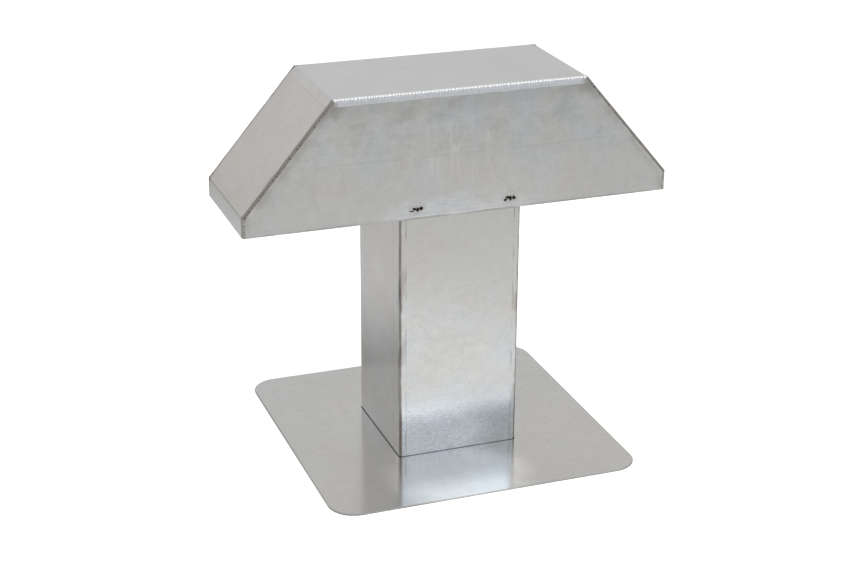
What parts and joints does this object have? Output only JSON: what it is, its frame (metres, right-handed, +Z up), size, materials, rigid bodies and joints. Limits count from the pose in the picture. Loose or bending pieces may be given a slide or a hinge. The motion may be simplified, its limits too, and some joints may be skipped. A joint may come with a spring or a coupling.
{
  "type": "cowl vent",
  "caption": "Passive roof vent in welded sheet aluminium: a flat square flange, an upright square duct and a trapezoidal hood open underneath at both ends.",
  "frame": {"origin": "centre of the flange's underside", "axes": "+Z up along the duct, +X along the hood's length, -Y out of the hood's front panel"},
  "size_m": [0.4102, 0.3, 0.3586],
  "materials": {
    "flange_sheet": "mill finish, semi-gloss, fine scratches",
    "duct_sheet": "mill finish with a vertical rolling grain",
    "hood_sheet": "mill finish, dull and cloudy, ground bright beside the welds",
    "weld_metal": "as-welded rippled bead"
  },
  "bodies": {
    "root": {"flange_plate": "flange_sheet", "duct": "duct_sheet", "hood_cover": "hood_sheet", "hood_front_panel": "hood_sheet", "hood_back_panel": "hood_sheet", "flange_weld": "weld_metal", "duct_seam_weld": "weld_metal", "front_left_lip_weld": "weld_metal", "front_left_slope_weld": "weld_metal", "front_roof_weld": "weld_metal", "front_right_slope_weld": "weld_metal", "front_right_lip_weld": "weld_metal", "back_left_lip_weld": "weld_metal", "back_left_slope_weld": "weld_metal", "back_roof_weld": "weld_metal", "back_right_slope_weld": "weld_metal", "back_right_lip_weld": "weld_metal", "front_left_plug_weld": "weld_metal", "front_right_plug_weld": "weld_metal", "back_left_plug_weld": "weld_metal", "back_right_plug_weld": "weld_metal"}
  },
  "joints": []
}
